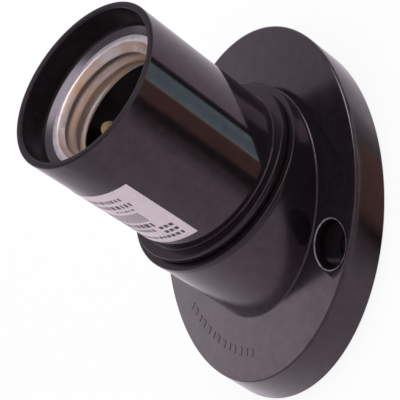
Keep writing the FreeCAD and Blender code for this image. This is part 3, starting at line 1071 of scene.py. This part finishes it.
def plated_material():
    """Plated sheet with a clean lip; below it brown, stain with painted reflection in it, and
    paler again further down, painted light on the deeper thread in the tube's shade.
    """
    material, tree, principled = shader("plated_sheet")
    noise = noise_node(tree, 0.3, 5.0, 0.65, (0.35, 0.35, 2.5))
    # Brown: stain with painted warm reflections; creams: painted light on the deeper thread, which
    # lies in the tube's shade
    browns = (0.34, 0.20, 0.11), (0.35, 0.27, 0.23), (0.42, 0.38, 0.37)
    creams = (0.88, 0.66, 0.48), (0.92, 0.77, 0.68), (0.95, 0.88, 0.85)
    stain_and_painted_light = ramp(tree, noise, list(zip((0.36, 0.5, 0.64), browns)))
    pale = ramp(tree, noise, list(zip((0.36, 0.5, 0.64), creams)))
    # Painted light: paler low down, where the tube shades the thread
    high_up = along_tube(tree, collar_top - 7, collar_top - 3)
    stain_and_painted_light = mixed(tree, high_up, pale, stain_and_painted_light, "RGBA")
    clean = shades(tree, noise_node(tree, 0.5, 5.0), (0.44, 0.40, 0.41), (0.64, 0.59, 0.62))
    lip = along_tube(tree, collar_top + 0.05, collar_top + 0.3)
    tone = mixed(tree, lip, stain_and_painted_light, clean, "RGBA")
    gloss = spread(tree, noise_node(tree, 0.6), 0.36, 0.46)
    fill(tree, principled, {"Base Color": tone, "Roughness": gloss, "Metallic": 0.6})
    bump(tree, principled, noise_node(tree, 1.5, 3.0), 0.05, 0.006)
    return material


def speckled(name):
    """Material whose colour, roughness and relief only vary with noises."""
    metallic, *colours, colour_noise, gloss, gloss_noise, relief, relief_noise = even_looks[name]
    material, tree, principled = shader(name)
    tone = shades(tree, noise_node(tree, *colour_noise), *colours)
    roughness = spread(tree, noise_node(tree, *gloss_noise), *gloss)
    fill(tree, principled, {"Base Color": tone, "Roughness": roughness, "Metallic": metallic})
    bump(tree, principled, noise_node(tree, *relief_noise), *relief)
    return material


def ink_material():
    material, tree, principled = shader("label_ink")
    tone = shades(tree, noise_node(tree, 1.2), (0.02, 0.02, 0.022), (0.06, 0.06, 0.065))
    fill(tree, principled, {"Base Color": tone, "Roughness": 0.5})
    return material


# Studio

def clear_of_base(tree):
    """Share of the floor's own glow, which is none under the hollow of the base: painted shade
    that keeps the floor dark there.
    """
    middle = plate_thickness * math.tan(tube_lean)
    inputs = {"Vector": in_piece(tree), "Location": (0, middle * MM, 0)}
    inputs["Scale"] = (plate_radius * MM, plate_radius / cos_lean * MM, 1)
    place = new_node(tree, "Mapping", inputs, vector_type="TEXTURE")["Vector"]
    length = new_node(tree, "VectorMath", {0: place}, operation="LENGTH")["Value"]
    return ranged(tree, length, 0.90, 0.99, 0.0, floor_glow)


def floor_material():
    """Pale floor that glows to the camera, gloss and glass but not to the object's shading."""
    material, tree, principled = shader("pale_floor")
    fill(tree, principled, {"Base Color": (0.86, 0.85, 0.86, 1), "Roughness": 0.8})
    path = new_node(tree, "LightPath", {})
    seen = both(tree, path["Is Camera Ray"], path["Is Glossy Ray"], "MAXIMUM")
    seen = both(tree, seen, path["Is Transmission Ray"], "MAXIMUM")
    # Painted shade: the floor keeps no glow under the base
    share = both(tree, seen, clear_of_base(tree))
    tint = ramp(tree, path["Is Glossy Ray"], [(0.0, (1, 1, 1)), (1.0, glossy_floor)])
    glow = new_node(tree, "Emission", {"Color": tint, "Strength": 1.0})["Emission"]
    inputs = {"Fac": share, 1: principled.outputs["BSDF"], 2: glow}
    surface = new_node(tree, "MixShader", inputs)["Shader"]
    fill(tree, tree.nodes["Material Output"], {"Surface": surface})
    return material


def area_light(name, place, target, width, height, power):
    lamp = bpy.data.lights.new(name, "AREA")
    lamp.shape = "RECTANGLE"
    lamp.size, lamp.size_y = width, height
    lamp.energy = power
    obj = in_scene(name, lamp)
    obj.location = place
    aim = Vector(target) - Vector(place)
    obj.rotation_euler = aim.to_track_quat("-Z", "Y").to_euler()


def mirrored_on_floor(radius, height, azimuth):
    """Where the view ray that meets an upright wall of the tube or the base reaches the floor."""
    c, s = math.cos(azimuth), math.sin(azimuth)
    point = to_row((radius * c, radius * s, height))
    normal = (to_row((c, s, 0)) - to_row((0, 0, 0))).normalized()
    view = (camera_place - point).normalized()
    ray = normal * (2 * normal.dot(view)) - view
    return point + ray * ((card_lift - point.z) / ray.z)


def tube_board_ends(degrees):
    """Heights on the tube at which the board's ends show."""
    start, height, rise = tube_board_clear
    return max(tube_board_low, height + rise * (degrees - start)), tube_board_high


def wall_board_ends(degrees):
    """Heights along the tube at which the board's ends show on the wall of the plate."""
    azimuth = math.radians(degrees)
    levels = wall_board_low, plate_thickness + wall_board_past_plate
    return [slice_height(level, plate_radius, azimuth) for level in levels]


def painted_reflection_board(name, bands, radius, ends):
    """Glowing board on the floor that only gloss shows, with bands of colour along the tube: a
    painted reflection on the walls.
    """
    verts, colours = [], []
    for degrees, colour in bands:
        for height in ends(degrees):
            verts.append(mirrored_on_floor(radius, height, math.radians(degrees)) * MM)
            colours.append((*colour, 1))
    faces = [(m, m + 1, m + 3, m + 2) for m in range(0, len(verts) - 2, 2)]
    mesh = bpy.data.meshes.new(name)
    mesh.from_pydata(verts, [], faces)
    layer = mesh.color_attributes.new("bands", "FLOAT_COLOR", "POINT")
    for k, colour in enumerate(colours):
        layer.data[k].color = colour
    material, tree, principled = shader(name)
    tree.nodes.remove(principled)
    source = new_node(tree, "Attribute", {}, attribute_name="bands")["Color"]
    glow = new_node(tree, "Emission", {"Color": source})["Emission"]
    fill(tree, tree.nodes["Material Output"], {"Surface": glow})
    mesh.materials.append(material)
    card = in_scene(name, mesh)
    for kind in ("camera", "diffuse", "shadow", "transmission", "volume_scatter"):
        setattr(card, "visible_" + kind, False)


def studio():
    mesh = bpy.data.meshes.new("floor")
    half = floor_half_width
    corners = [(-half, -half, 0), (half, -half, 0), (half, half, 0), (-half, half, 0)]
    mesh.from_pydata(corners, [], [(0, 1, 2, 3)])
    mesh.materials.append(floor_material())
    floor = in_scene("floor", mesh)
    floor.location.z = -floor_gap
    # Painted reflections: coloured streaks on the tube and the plate's wall, from boards that glow
    painted_reflection_board("tube_board", tube_bands, shell_foot_radius, tube_board_ends)
    painted_reflection_board("wall_board", wall_bands, plate_radius, wall_board_ends)
    world = bpy.data.worlds.new("studio")
    world.use_nodes = True
    tree = world.node_tree
    to_camera = new_node(tree, "LightPath", {})["Is Camera Ray"]
    glow = ramp(tree, to_camera, [(0.0, room_glow), (1.0, (1, 1, 1))])
    fill(tree, tree.nodes["Background"], {"Color": glow, "Strength": 1.0})
    bpy.context.scene.world = world
    area_light("overhead", (0.03, -0.36, 0.50), (0, -0.02, 0.05), 0.26, 0.42, 1.9)
    area_light("fill", (0.66, 0.36, 0.5), (0, 0, 0.01), 0.42, 0.45, 0.6)


def camera():
    data = bpy.data.cameras.new("camera")
    data.sensor_width = sensor_width
    data.lens = camera_lens
    obj = in_scene("camera", data)
    obj.location = camera_place * MM
    obj.rotation_euler = [math.radians(a) for a in camera_turn_deg]
    bpy.context.scene.camera = obj


def coat(obj, material):
    obj.data.materials.clear()
    obj.data.materials.append(material)


def dress(piece, material, body, node):
    """Give a new piece its material and the body that it rides on, and hide the node that it
    stands for.
    """
    coat(piece, material)
    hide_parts(node)
    if body:
        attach(piece, body)
    return piece


def main():
    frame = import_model()
    phenolic = phenolic_material()
    porcelain = speckled("glazed_porcelain")
    brass = speckled("brass_strip")
    zinc = speckled("zinc_plated_steel")
    spring = speckled("spring_steel")
    dress(base_piece(), phenolic, "holder", "base")
    dress(ring_piece("tube_shell", shell_line), phenolic, "tube", "shell")
    sleeve = ring_piece("metal_sleeve", sleeve_line)
    dress(sleeve, plated_material(), "sleeve", "threaded_sleeve")
    dress(insert_piece(), porcelain, "holder", "insert")
    label = dress(label_piece(), speckled("label_paper"), "tube", "rating_label")
    print_label(label, ink_material())
    leaf = dress(centre_contact_piece(), brass, None, "centre_contact")
    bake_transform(leaf)
    tongue = dress(side_contact_piece(), brass, None, "side_contact")
    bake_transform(tongue)
    for side, pole, contact in ((-1, "live", "centre"), (1, "neutral", "side")):
        node = contact + "_fixing_screw"
        dress(fixing_screw_piece(contact + "_screw", side), zinc, "holder", node)
        node = pole + "_terminal_screw"
        dress(terminal_screw_piece(pole + "_screw", side), zinc, "holder", node)
        finishes = {"terminal_plate": brass, "clamp_washer": zinc, "spring_washer": spring}
        for part, material in finishes.items():
            coat(frame["nodes"][pole + "_" + part], material)
    studio()
    camera()
    bpy.context.scene.view_settings.view_transform = "Standard"


main()
